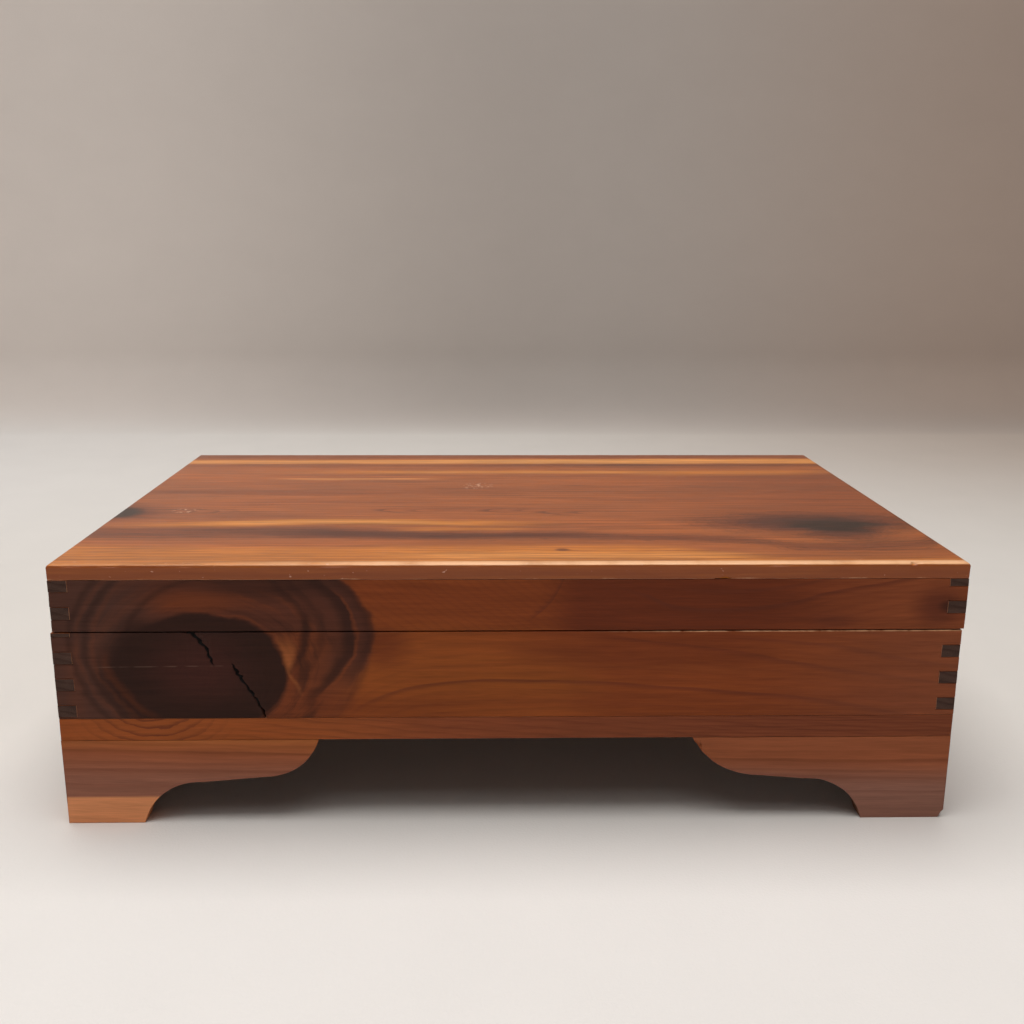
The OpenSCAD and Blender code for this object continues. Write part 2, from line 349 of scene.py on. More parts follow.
def paper():
    """Pale paper with a fine tooth, and painted shade: darker further back, up the wall and to the right,
    lighter to the left.
    """
    paint = Paint("paper", (0.80, 0.765, 0.735))
    wall = paint.y.rise(800, 890)
    # Painted light and shade, not the paper's own tone: the floor darker further back, lighter to the far
    # left and darker to the far right; the wall darker than the floor, lightest at the far left
    paint.cover((0.69, 0.655, 0.615), paint.y.rise(-80, 100))
    paint.cover((0.80, 0.775, 0.75), paint.y.rise(150, 600) * paint.x.fall(-650, 0))
    paint.cover((0.57, 0.49, 0.43), paint.y.rise(250, 750) * paint.x.rise(-100, 650))
    paint.cover((0.62, 0.555, 0.51), wall)
    paint.cover((0.385, 0.34, 0.31), wall * paint.x.rise(-600, 60))
    paint.cover((0.40, 0.315, 0.265), wall * paint.x.rise(100, 600))
    cloud = paint.noise(paint.x / 60, paint.y / 60, paint.z / 40, detail=3)
    # The paper's fine tooth, and painted shade that darkens the wall higher up
    paint.shade((1 + cloud * 0.03) * (1 - paint.z.rise(150, 480) * 0.12))
    paint.relief = paint.noise(paint.x / 0.9, paint.y / 0.9, paint.z / 0.9) * 0.05
    return paint.finish(roughness=0.9, coat=0, coat_roughness=0, specular=0.1)


def add_fibres(paint, along, across, depth, seed, strength=1.0):
    """What all cedar shows close up: fibres, fine dark flecks and slow changes of tone."""
    slow = paint.noise(along / 90, across / 14, depth / 14 + seed, detail=2)
    streaks = paint.noise(along / 38, across / 1.7, depth / 1.7 + seed, detail=4, rough=0.6)
    fine = paint.noise(along / 9, across / 0.32, depth / 0.32 + seed, detail=2)
    tone = slow * 0.20 + streaks * 0.36 + fine * 0.22
    paint.shade(1 + tone * strength)
    paint.relief = paint.relief + fine * 0.010 + streaks * 0.018
    paint.dull = paint.dull + fine * 0.05 + slow * 0.06


def varnish(paint):
    """The dull oil varnish of the walls and feet."""
    return paint.finish(roughness=0.42, coat=0.05, coat_roughness=0.20, specular=0.07)


# ---------------------------------------------------------------- the boards' figure

def front_material():
    """The front of the lid and base, sawn from one board with a great cracked knot on the left."""
    paint = Paint("cedar_front", FRONT_HEART)
    x, y, z = paint.x, paint.y, paint.z
    drift = paint.noise(x / 75, z / 13, y / 13 + 3, detail=2) * 2.2
    add_open_figure(paint, x, z + drift, y)
    add_great_knot(paint, x, z, y)
    add_fibres(paint, x, z + drift, y, seed=5)
    broken = paint.noise(x / 7, 1, 5, detail=2).rise(-0.2, 0.2)
    scratch = (z - 58.6 - x * 0.008).size().fall(0.1, 0.3) * x.between(-135, -95, 6) * broken
    paint.cover(PALE_WEAR, scratch * 0.06)
    # Pale wear with a painted highlight along the base's top arris at the parting, on the right
    rubbed_and_glint = z.between(69.35, 69.7, 0.12) * y.fall(0.5, 1.2) * x.rise(20, 70)
    paint.cover(RUBBED_AND_GLINT, rubbed_and_glint * paint.noise(x / 6, 2, 7, detail=3).rise(-0.35, 0.2) * 0.55)
    # Painted shade: near black on the faces deep inside the carved cracks, where shade falls
    crack_shade = y.rise(0.35, 0.9) * x.between(-111, -80, 1)
    paint.cover(CRACK_SHADE, crack_shade)
    return varnish(paint)


def add_open_figure(paint, x, line, y):
    """Right of the knot: long lines that arch over the middle of the base and sink to the right."""
    in_lid = paint.z.rise(69.5, 70.2)
    clear = x.rise(-62, -42)
    paint.cover(ORANGE, x.between(-45, 10, 30) * (line + x * 0.1).near(53, 24) * 0.15)
    paint.cover(FRONT_DEEP, paint.noise(x / 80, line / 6, y / 6 + 11).rise(-0.2, 0.5) * 0.38)
    paint.cover(HEART, paint.noise(x / 110, line / 5, y / 6 + 17).rise(0.1, 0.6) * 0.22)
    arch = x.curve([
        (-70, 30), (-56, 40), (-42, 47.5), (-25, 51.5), (0, 52.5), (25, 51.5), (75, 47.5),
        (115, 43), (152, 36),
    ])
    middle = x.curve([(0, 74), (50, 66), (80, 61.5), (115, 55.5), (152, 50)])
    upper = x.curve([(60, 71), (75, 68.5), (115, 63.5), (152, 57)])
    for edge, start, strength in ((arch, -62, 0.52), (middle, 15, 0.48), (upper, 60, 0.40)):
        paint.cover(PURPLE, late_line(line - edge, 2.0) * x.rise(start, start + 30) * strength)
    faint = ((line - arch) / 3.4).ring_line() * clear * (1 - in_lid)
    paint.cover(PURPLE, faint * 0.13)
    paint.cover(FRONT_DEEP, x.rise(60, 150) * paint.z.fall(40, 48) * 0.30)
    paint.cover(PURPLE, (line / 1.25).ring_line() * x.rise(20, 80) * paint.z.fall(42, 46) * 0.30)
    cup = x.curve([(20, 95), (45, 82), (62, 77.5), (85, 78.5), (110, 84), (152, 92)])
    swirl = x.curve([(-10, 60), (8, 72), (14, 78), (19, 90)])
    paint.cover(FRONT_DEEP, in_lid * x.fall(8, 24) * 0.15)
    paint.cover(FRONT_DEEP, in_lid * x.rise(8, 24) * x.fall(80, 140) * 0.92)
    # Greyer to the right: grey tone and painted sheen
    paint.cover(GREY_AND_SHEEN, in_lid * x.rise(80, 140) * 0.35)
    paint.cover(FRONT_DEEP, (1 - in_lid) * x.between(20, 70, 30) * line.rise(50, 62) * 0.40)
    # Greyer to the right: grey tone and painted sheen
    paint.cover(GREY_AND_SHEEN, (1 - in_lid) * x.rise(70, 150) * 0.55)
    paint.cover(PURPLE, late_line(line - cup, 2.2) * in_lid * x.rise(35, 50) * 0.65)
    paint.cover(PURPLE, late_line(line - cup - 6, 2.0) * in_lid * x.rise(50, 70) * 0.45)
    paint.cover(PURPLE, late_line(swirl - paint.z + 3, 3.0) * in_lid * x.between(9, 18, 4) * 0.5)
    paint.cover(PURPLE, ((line - cup) / 2.9).ring_line() * in_lid * clear * 0.16)
    small_knot = paint.distance(x, line, (144, 78), (8, 6))
    paint.cover(PURPLE, small_knot.fall(0.3, 1.7) * in_lid * 0.90)
    paint.cover(KNOT, paint.distance(x, line, (148, 78), (4.5, 2)).fall(0.4, 1.4) * in_lid * 0.7)
    paint.cover(PURPLE, paint.distance(x, line, (108, 73), (8, 3)).fall(0.3, 1.4) * in_lid * 0.5)


def late_line(height, fade):
    """A growth ring's edge at height 0: it darkens over the fade below and stops sharply above."""
    return height.rise(-fade, -0.25) * height.fall(0.0, 0.45)


def add_great_knot(paint, x, z, y):
    """A dark core, streaked rings round it and a dark outer shell, cut off by the fingers."""
    cloud = paint.noise(x / 14, z / 11, y / 10 + 23, detail=3)
    fine = paint.noise(x / 4, z / 4, y / 5 + 29, detail=2)
    near_x = x + cloud * 2.4 + fine * 0.7
    near_z = z + cloud * 2.0
    core = paint.distance(near_x, near_z, (-104, 55.0), (29.2, 21.5))
    outer = paint.distance(near_x, near_z, (-98, 64), (51, 41))
    growth = (core - 1) / (core - outer).most(0.05)
    turn_x = (near_x + 102) / 40 / core.most(0.3)
    turn_z = (near_z - 60) / 30 / core.most(0.3)
    rings = paint.noise(growth * 5.5, turn_x * 1.3, turn_z * 1.3 + 37, detail=4, rough=0.6)
    right = x.rise(-92, -72)
    left = x.fall(-130, -116)
    in_lid = z.rise(69.5, 70.2)
    inside = outer.fall(0.93, 1.03)
    paint.cover(KNOT_HALO, x.fall(-138, -115) * 0.92)
    paint.cover(KNOT_HALO, inside * (0.88 - right * (1 - in_lid) * 0.50))
    paint.cover(KNOT, rings.rise(-0.05, 0.40) * inside * 0.60)
    paint.cover(FRONT_HEART, rings.fall(-0.40, -0.05) * inside * 0.26)
    warm = paint.distance(near_x, z, (-105, 80.5), (20, 4.5)).fall(0.3, 1.3)
    paint.cover(FRONT_HEART, warm * 0.42)
    paint.cover(FRONT_HEART, growth.between(0.45, 0.62, 0.12) * left * z.near(58, 18) * 0.22)
    paint.cover(FRONT_HEART, x.near(-146, 5) * z.between(42, 64, 4) * 0.25)
    paint.cover(KNOT_GREY, x.fall(-134, -108) * 0.50)
    paint.cover(FRONT_DEEP, paint.distance(near_x, z, (-43, 64), (10, 9)).fall(0.2, 1.3) * 0.60)
    add_shell(paint, near_x, z)
    add_flame(paint, near_x, z)
    dusk = paint.distance(near_x, z, (-80, 88), (26, 8)).fall(0.4, 1.3)
    paint.cover(KNOT, dusk * 0.55)
    reach = 0.09 + left * 0.30
    paint.cover(KNOT, ((core - 0.95) / reach).fall(0, 1) * 0.97)
    paint.cover(KNOT, (outer - 0.60).near(0, 0.04) * x.fall(-112, -92) * in_lid * 0.42)
    paint.cover(FRONT_HEART, (outer - 0.74).near(0, 0.05) * x.fall(-128, -112) * z.fall(58, 66) * 0.18)
    for place in (0.96, 0.86):
        paint.cover(KNOT, (outer - place).near(0, 0.04) * x.fall(-128, -105) * 0.45)
        paint.cover(FRONT_HEART, (outer - place + 0.05).near(0, 0.03) * x.fall(-128, -105) * 0.12)
    heart = paint.distance(near_x, z, (-104, 57), (19, 13)).fall(0.2, 1.3)
    paint.cover(KNOT_RED, heart * 0.95)
    paint.cover(KNOT, rings.rise(0, 0.4) * core.fall(0.8, 1.0) * 0.35)
    paint.relief = paint.relief - core.fall(0.7, 1.1) * 0.12


def add_shell(paint, x, z):
    """The knot's dark outer shell: soft claws that thin out downwards, with light between them."""
    edge = z.curve([
        (36, -60), (46, -57), (52, -52.5), (59, -48.5), (66, -46), (73, -46), (79, -49), (85, -54),
        (92, -62),
    ])
    shade = (x - edge).rise(-24, -8) * (x - edge).fall(-2, 1.5) * z.rise(42, 62)
    paint.cover(KNOT_HALO, shade * 0.86)
    claws = ((0, 5.0, 56, 0.50), (-6.5, 6, 43, 0.70), (-16, 4.0, 54, 0.35), (-21.5, 4, 50, 0.50))
    for shift, reach, tip, strength in claws:
        line = x - edge - shift + z.fall(tip, 70) * 1.5
        dark = line.rise(-reach, -reach * 0.25) * line.fall(-0.6, 1.2)
        paint.cover(KNOT, dark * z.rise(tip - 9, tip + 10) * strength)
    light = (x - edge + 5.9).near(0, 1.1) * z.between(54, 80, 6)
    paint.cover(FRONT_HEART, light * 0.35)


def add_flame(paint, x, z):
    """A bright V of clear wood between the core and the shell."""
    left_edge = z.curve([(54, -74.4), (60, -76.6), (66, -79.0), (72, -84)])
    right_edge = z.curve([(54, -73.0), (60, -71.6), (66, -71.2), (72, -73)])
    flame = (x - left_edge).rise(-0.6, 2.2) * (x - right_edge).fall(-2.6, 0.6)
    paint.cover(FLAME, flame * z.rise(54, 58) * z.fall(60, 71) * 0.46)
    lower = (x + 74.5 + (z - 55.7) * 0.52).near(0, 1.3) * z.between(50, 56, 4)
    paint.cover(FLAME, lower * 0.22)
    paint.cover(KNOT, (x + 69.6 - (z - 60) * 0.12).near(0, 3.0) * z.between(54, 72, 8) * 0.55)


def panel_material():
    """The lid's top: yellow streaks, a wavy dark band and two knots, with dings in the varnish."""
    paint = Paint("cedar_panel", HEART)
    x, y, z = paint.x, paint.y, paint.z
    deep = y + (93 - z) * 0.8
    wobble = paint.noise(x / 30, y / 6, 3, detail=3)
    rough = paint.noise(x / 16, y / 5, 13, detail=5, rough=0.65)
    knot = paint.distance(x, y, (115, 54), (28, 11)).least(paint.distance(x, y, (123, 47), (14, 12)))
    knot = knot + rough * 0.55
    green = paint.distance(x, y, (122, 51), (21, 11)) + rough * 0.7
    left_knot = paint.distance(x, y, (-155, 72), (14, 10)) + rough * 0.4
    push = (knot * knot + 0.6) ** -1
    across = deep - (y - 52) * push * 0.4 + paint.noise(x / 90, y / 14, z / 14, detail=2) * 2.2
    add_panel_bands(paint, x, across, wobble)
    add_panel_front(paint, x, deep, wobble)

    for tip, middle in ((-62, 75.2), (-20, 75.0), (2, 71.5)):
        side = (y - middle) / 4.0 + wobble * 0.7
        arch = (x - tip) / 13 - side * side
        paint.cover(PURPLE, arch.ring_line() * arch.rise(0, 0.5) * x.fall(tip + 14, tip + 42) * 0.70)
    tail = paint.distance(x, y, (-138, 74), (28, 5.5)) + wobble * 0.4
    paint.cover(PURPLE, (tail * 3.2).ring_line() * tail.fall(0.8, 1.5) * 0.60)
    paint.cover(PURPLE, knot.fall(0.85, 2.0) * 0.75)
    paint.cover(KNOT, (knot * 5).ring_line() * knot.fall(1.2, 2.2) * 0.35)
    paint.cover(KNOT_HALO, knot.fall(0.55, 1.25) * 0.80)
    paint.cover(GREEN_KNOT, green.fall(0.45, 1.15) * 0.90)
    grey = paint.noise(x / 9, y / 1.5, 19, detail=3).rise(0.0, 0.4)
    paint.cover(KNOT_HALO, grey * knot.fall(0.6, 1.1) * 0.45)
    paint.cover(PURPLE, left_knot.fall(0.9, 2.0) * 0.60)
    paint.cover(GREEN_KNOT, left_knot.fall(0.6, 1.15) * 0.92)
    paint.relief = paint.relief - knot.fall(0.6, 1.1) * 0.08

    add_fibres(paint, x, across, z, seed=9, strength=1.75)
    add_dings(paint, x, y)
    add_panel_edge(paint, x, y, z)
    return paint.finish(roughness=0.36, coat=0.16, coat_roughness=0.10, specular=0.20)


def add_panel_edge(paint, x, y, z):
    """The panel's front edge is darker, and its top arris pale: part wear, part painted highlight."""
    edge = y.fall(0.2, 0.6)
    paint.cover(FRONT_HEART, z.fall(92.6, 93.0) * edge * 0.85)
    paint.cover(ORANGE, paint.noise(x / 60, z / 2.5, 15).rise(0, 0.5) * edge * 0.20)
    paint.cover(HEART_DEEP, z.fall(89, 91.5) * edge * 0.35)
    # Wear along the top arris, also a painted highlight; faint at the left end
    wear_and_glint = paint.noise(x / 24, 3, 3, detail=4).rise(-0.55, 0.1) * (0.08 + x.rise(-115, -20) * 0.80)
    paint.cover(RUBBED_AND_GLINT, z.rise(92.5, 92.9) * y.fall(2.2, 4.0) * wear_and_glint * 0.95)
    spots = paint.noise(x / 3, y / 2, z / 2, detail=2).rise(0.35, 0.5)
    paint.cover(PALE_WEAR, spots * y.fall(2, 7) * 0.5)
    low_arris = z.fall(88.0, 88.5) * y.fall(0.6, 1.2) * paint.noise(x / 12, 1, 9, detail=4).rise(0.05, 0.4)
    paint.cover(RUBBED_AND_GLINT, low_arris * 0.5)


def add_panel_bands(paint, x, across, wobble):
    """Bands of heartwood and sapwood that run the length of the panel."""
    bend = wobble * 0.9
    paint.cover(HEART_DEEP, paint.noise(x / 150, across / 8, 21).rise(-0.1, 0.5) * 0.45)
    paint.cover(PURPLE, (across / 3.9 + wobble * 0.3).ring_line() * 0.22)
    stripe = x.curve([(-152, 175), (-65, 175.5), (15, 176.5), (75, 177), (152, 177)])
    offset = across - stripe + bend
    broad = x.rise(-60, 60) * 1.5
    paint.cover(ORANGE, (offset.size() - broad).fall(3.5, 7) * 0.6)
    paint.cover(SAPWOOD, (offset.size() - broad).fall(2.5, 5.0) * (0.55 + x.near(10, 130) * 0.3))
    paint.cover(PURPLE, (offset + 9.5).near(0, 5) * (0.35 + x.rise(-40, 20) * 0.25))
    paint.cover(PURPLE, (offset - 9).rise(-2, 2) * 0.42)
    paint.cover(ORANGE, (across + bend).near(150.5, 6) * x.between(-40, 100, 90) * 0.75)
    paint.cover(SAPWOOD, (across + bend).near(150, 3.0) * x.between(-30, 40, 40) * 0.35)
    paint.cover(ORANGE, (across + bend).near(145, 6) * x.between(80, 120, 30) * 0.45)
    paint.cover(SAPWOOD, (across + bend).near(135.8, 2.6) * x.between(-80, -52, 32) * 0.60)
    paint.cover(PURPLE, across.near(108, 9) * x.fall(-60, 80) * 0.30)
    paint.cover(HEART_DEEP, x.rise(0, 150) * across.between(60, 138, 15) * 0.75)
    paint.cover(PURPLE, across.near(163, 5) * x.between(0, 100, 60) * 0.30)


def add_panel_front(paint, x, deep, wobble):
    """The front third: an orange streak, the wavy dark band and the orange front edge."""
    bend = wobble * 2.4
    streak = x.curve([(-152, 50), (-100, 54.5), (-60, 57), (-20, 54.5), (60, 53), (152, 52)])
    offset = deep - streak + bend
    paint.cover(ORANGE, offset.size().fall(1.5, 6.5) * x.between(-100, -30, 60) * 0.95)
    paint.cover(SAPWOOD, offset.size().fall(0.5, 3.6) * x.between(-92, -40, 30) * 0.50)
    paint.cover(ORANGE, (deep - 45.5 + bend).near(0, 4) * x.between(-30, -5, 18) * 0.6)
    dark = x.curve([
        (-152, 41), (-100, 42), (-60, 40), (-20, 36), (10, 36.5), (40, 34.5), (70, 31),
        (90, 26.5), (110, 21), (130, 21.5), (152, 31),
    ])
    offset = deep - dark + bend
    broad = x.fall(-70, -10) * 3.0
    depth = 0.62 + x.between(-60, 5, 40) * 0.24
    paint.cover(PURPLE, (offset.size() - broad).fall(0.5, 8.5) * depth)
    paint.cover(KNOT, offset.size().fall(0.5, 5.0) * x.between(-90, 5, 40) * 0.30)
    paint.cover(KNOT, (offset / 2.1 + wobble).ring_line() * offset.size().fall(4, 11) * 0.38)
    orange_edge = x.curve([(-152, 26), (-90, 23), (40, 24), (75, 14), (105, 7), (152, 8)])
    front = (deep - orange_edge + bend).fall(-7, 2)
    paint.cover(ORANGE, front * 0.68)
    paint.cover(SAPWOOD, (deep - 9.5 + bend).near(0, 8) * x.between(-10, 55, 45) * 0.50)
    paint.cover(HEART_DEEP, ((deep + bend) / 3.3).ring_line() * front * 0.45)
    mark = paint.distance(x, deep, (18, 17), (2.6, 1.8)) + wobble * 0.5
    paint.cover(PURPLE, mark.fall(0.4, 1.3) * 0.8)


def add_dings(paint, x, y):
    """Pale rubs and tiny dents in the varnish of the lid."""
    for centre, radii, strength in (((-13, 121), (8, 7), 0.50), ((-127, 75), (5, 4), 0.70)):
        spot = paint.distance(x, y, centre, radii).fall(0.3, 1.2)
        flecks = paint.noise(x / 1.8, y / 3.2, 40, detail=3).rise(0.02, 0.25)
        paint.cover(PALE_WEAR, spot * flecks * strength)
    specks = paint.noise(x / 2.6, y / 2.6, 60, detail=1).rise(0.62, 0.72)
    paint.cover(PALE_WEAR, specks * 0.25)
    paint.relief = paint.relief - specks * 0.05


def plain_board(name, along, across, depth, seed):
    """Varnished cedar with its own bands, rings and a small knot, for the boards seen less."""
    paint = Paint(name, PLAIN_HEART)
    axes = {"x": paint.x, "y": paint.y, "z": paint.z}
    u, v, w = axes[along], axes[across], axes[depth]
    knot = paint.distance(u, v, (62, 62), (7, 4)) + paint.noise(u / 8, v / 6, seed) * 0.4
    push = (knot * knot + 0.5) ** -1
    drift = paint.noise(u / 80, v / 14, w / 10 + seed, detail=2)
    line = v + drift * 3.2 + w * 0.4 + (v - 62) * push * 0.5
    paint.cover(FRONT_DEEP, paint.noise(u / 90, line / 6, seed + 2).rise(-0.2, 0.4) * 0.6)
    paint.cover(HEART, paint.noise(u / 140, line / 8, seed + 6).rise(0.0, 0.5) * 0.65)
    paint.cover(PURPLE, (line / 4.6 + drift * 0.4).ring_line() * 0.32)
    paint.cover(PURPLE, knot.fall(0.8, 1.8) * 0.6)
    paint.cover(KNOT, knot.fall(0.5, 1.1) * 0.8)
    add_fibres(paint, u, line, w, seed)
    return varnish(paint)


def end_material(name, across, depth, seed, tone):
    """End grain soaked dark by the varnish, with the growth rings cut across."""
    paint = Paint(name, tone)
    axes = {"x": paint.x, "y": paint.y, "z": paint.z}
    v, w = axes[across], axes[depth]
    rings = (v * 0.22 + w * 0.9) / 2.4 + paint.noise(v / 12, w / 8, seed) * 0.8
    paint.cover(KNOT, rings.ring_line() * 0.5)
    pores = paint.noise(v / 0.35, w / 0.35, seed)
    paint.shade(1 + pores * 0.6 + paint.noise(v / 6, w / 3, seed + 4) * 0.5)
    paint.relief = pores * 0.02
    paint.dull = pores * 0.08
    return varnish(paint)


def bare_material(name, along, across, depth, seed):
    """Unfinished cedar, paler and matt, with purple heart streaks, and painted shade under the box."""
    paint = Paint(name, BARE)
    axes = {"x": paint.x, "y": paint.y, "z": paint.z}
    u, v, w = axes[along], axes[across], axes[depth]
    drift = paint.noise(u / 70, v / 12, w / 12 + seed, detail=2)
    line = v + drift * 3.4 + w * 0.3
    paint.cover(BARE_DEEP, paint.noise(u / 120, line / 11, seed + 1).rise(-0.2, 0.35) * 0.8)
    paint.cover(BARE_DEEP, (line / 5.0 + drift * 0.5).ring_line() * 0.5)
    add_fibres(paint, u, line, w, seed, strength=0.8)
    # Painted shade: the bare faces down under the box are darkened
    paint.cover(UNDER_BOX_SHADE, paint.z.fall(31.5, 33) * 0.82)
    return paint.finish(roughness=0.72, coat=0, coat_roughness=0, specular=0.2)


def bottom_edge_material():
    """The edge of the bottom board: U-shaped rings on the left, darker to the right."""
    paint = Paint("cedar_bottom_edge", FRONT_HEART)
    x, y, z = paint.x, paint.y, paint.z
    bowl = paint.distance(x, z, (-121, 46), (16, 11)) * 4 + paint.noise(x / 9, z / 4, 2) * 0.5
    slope = (z + x * 0.10 + paint.noise(x / 40, z / 6, 5) * 2) / 2.6
    paint.cover(HEART, x.between(-140, -60, 40) * 0.48)
    paint.cover(FRONT_DEEP, x.rise(-40, 40) * 0.55)
    # Greyer to the right: grey tone and painted sheen
    paint.cover(GREY_AND_SHEEN, x.rise(-90, -10) * 0.40)
    paint.cover(PURPLE, slope.ring_line() * x.rise(-100, -80) * 0.30)
    thin = (z + x * 0.012 + paint.noise(x / 50, z / 5, 8) * 1.5) / 1.25
    paint.cover(PURPLE, thin.ring_line() * x.rise(20, 80) * 0.45)
    paint.cover(PURPLE, bowl.ring_line() * x.near(-121, 32) * 0.75)
    add_fibres(paint, x, z, y, seed=13)
    return varnish(paint)


def foot_material(name, along):
    """The feet: level grain, orange at the top, purple-grey lower down, sapwood on the left toe."""
    paint = Paint(name, FOOT)
    x, y, z = paint.x, paint.y, paint.z
    u, w = (x, y) if along == "x" else (y, x)
    left = x.fall(-20, 20)
    line = z + u * 0.018 + paint.noise(u / 60, z / 6, w / 9 + 31, detail=2) * 1.3
    paint.cover(ORANGE, line.rise(22, 31) * left * 0.26)
    paint.cover(FOOT_GREY, line.fall(12, 26) * (0.88 - left * 0.26))
    paint.cover(FOOT_SAPWOOD, line.fall(6.6, 8.0) * left * 0.80)
    for height, strength in ((27.5, 0.15), (24.6, 0.34), (20.5, 0.18), (17.8, 0.32), (12.5, 0.20)):
        paint.cover(PURPLE, late_line(line - height, 1.6) * strength)
    add_fibres(paint, u, line, w, seed=17, strength=0.85)
    return varnish(paint)


def brass_material():
    """Brass gone dull and brown in patches."""
    paint = Paint("brass", (0.60, 0.42, 0.17))
    patches = paint.noise(paint.x / 5, paint.y / 5, paint.z / 5, detail=5)
    paint.cover((0.24, 0.13, 0.05), patches.rise(-0.05, 0.5) * 0.8)
    lines = paint.noise(paint.x / 4, paint.y / 0.15, paint.z / 0.15, detail=2)
    paint.shade(1 + lines * 0.2)
    paint.dull = patches * 0.25 + lines * 0.08
    paint.relief = lines * 0.004 + patches * 0.01
    paint.shader.inputs["Metallic"].default_value = 1
    return paint.finish(roughness=0.38, coat=0, coat_roughness=0, specular=0.5)


# ---------------------------------------------------------------- worn boards

def new_object(name, mesh, node):
    """Puts a mesh into the scene in place of a CAD node, on that node's body."""
    piece = bpy.data.objects.new(name, mesh)
    bpy.context.scene.collection.objects.link(piece)
    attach(piece, BODY_OF[node])
    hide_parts(node)
    return piece


def even_normals(piece):
    """Keeps wide faces looking flat and narrow worn ones round."""
    piece.data.shade_smooth()
    weighted = piece.modifiers.new("even_normals", "WEIGHTED_NORMAL")
    weighted.keep_sharp = True


def cut_rings(shape, axis, pitch):
    """Cuts a shape across an axis at every pitch, so that its arrises can wear unevenly."""
    places = [vertex.co[axis] for vertex in shape.verts]
    low, high = min(places), max(places)
    count = int((high - low) / pitch)
    normal = Vector([1 if index == axis else 0 for index in range(3)])
    for step in range(1, count):
        at = normal * (low + (high - low) * step / count)
        geometry = [*shape.verts, *shape.edges, *shape.faces]
        bmesh.ops.bisect_plane(shape, geom=geometry, dist=1e-7, plane_co=at, plane_no=normal)


def worn_shape(node, axis, arris, wear, seed, pitch=2.5 * MM):
    """A copy of a CAD node's shape with its arrises rubbed round by an uneven amount."""
    shape = bmesh.new()
    shape.from_mesh(frame["nodes"][node].data)
    bmesh.ops.remove_doubles(shape, verts=shape.verts, dist=1e-6)
    flat = math.radians(0.5)
    bmesh.ops.dissolve_limit(shape, angle_limit=flat, verts=shape.verts, edges=shape.edges)
    if axis is not None:
        cut_rings(shape, axis, pitch)
    sharp = [
        edge for edge in shape.edges
        if len(edge.link_faces) == 2 and edge.calc_face_angle() > math.radians(35)
    ]
    bmesh.ops.bevel(
        shape, geom=sharp, offset=arris, segments=3, profile=0.5, affect="EDGES",
        clamp_overlap=True,
    )
    bmesh.ops.dissolve_degenerate(shape, dist=3e-6, edges=shape.edges)
    shape.normal_update()
    for vertex in shape.verts:
        if max(abs(part) for part in vertex.normal) < 0.985:
            point = vertex.co * 180 + Vector((seed, seed, seed))
            rub = noise.fractal(point, 0.8, 2.0, 3)
            vertex.co -= vertex.normal * wear * max(0.0, rub + 0.15)
    low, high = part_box(node)
    for vertex in shape.verts:
        vertex.co = [min(max(part, least), most) for part, least, most in zip(vertex.co, low, high)]
    return shape


def face_kind(centre, normal, grain_axis, is_bare):
    """0 for a varnished face, 1 for end grain, 2 for bare wood."""
    if is_bare(centre, normal):
        return 2
    if abs(normal[grain_axis]) > 0.8:
        return 1
    return 0


def faces(direction):
    """A test for faces that look along a direction, such as the inner side of a wall."""
    return lambda centre, normal: normal.dot(Vector(direction)) > 0.7


def bottom_is_bare(centre, normal):
    return abs(normal[2]) > 0.8


def foot_is_bare(centre, normal):
    outer = max(abs(centre[0]) - INNER_X, abs(centre[1]) - INNER_Y)
    return outer < 1.5 * MM and abs(normal[2]) < 0.3


def make_board(node, grain_axis, finishes, is_bare, arris, wear, seed):
    shape = worn_shape(node, grain_axis, arris, wear, seed)
    for face in shape.faces:
        centre = face.calc_center_median()
        face.material_index = face_kind(centre, face.normal, grain_axis, is_bare)
    mesh = bpy.data.meshes.new(node + "_worn")
    shape.to_mesh(mesh)
    shape.free()
    for finish in finishes:
        mesh.materials.append(finish)
    piece = new_object(node + "_worn", mesh, node)
    even_normals(piece)
    return piece


def jagged(line, seed):
    """A crack's line with small steps and changes of width put between its points."""
    points = [line[0]]
    for start, end in zip(line, line[1:]):
        for step in (1, 2, 3):
            shift = noise.noise_vector(Vector((seed, end[1] * 3.1, step * 1.7)))
            share = step / 3
            x, z, half = [a + (b - a) * share for a, b in zip(start, end)]
            points.append((x + shift[0] * 0.75, z + shift[1] * 0.3, half * (1 + shift[2] * 0.7)))
    return points


def crack_cutter(name, line, depth):
    """A closed wedge along a line of (x, z, half width) in millimetres, open at the front."""
    corners = []
    for x, z, half in line:
        corners.append(((x - half) * MM, FRONT_Y - 0.3 * MM, (z - half * 0.3) * MM))
        corners.append(((x + half) * MM, FRONT_Y - 0.3 * MM, (z + half * 0.3) * MM))
        corners.append((x * MM, FRONT_Y + depth * MM, z * MM))
    faces = [(0, 1, 2), (len(corners) - 3, len(corners) - 1, len(corners) - 2)]
    for step in range(0, len(corners) - 3, 3):
        for a, b in ((0, 1), (1, 2), (2, 0)):
            faces.append((step + b, step + a, step + a + 3, step + b + 3))
    mesh = bpy.data.meshes.new(name)
    mesh.from_pydata(corners, [], faces)
    shape = bmesh.new()
    shape.from_mesh(mesh)
    bmesh.ops.recalc_face_normals(shape, faces=shape.faces)
    shape.to_mesh(mesh)
    shape.free()
    return bpy.data.objects.new(name, mesh)


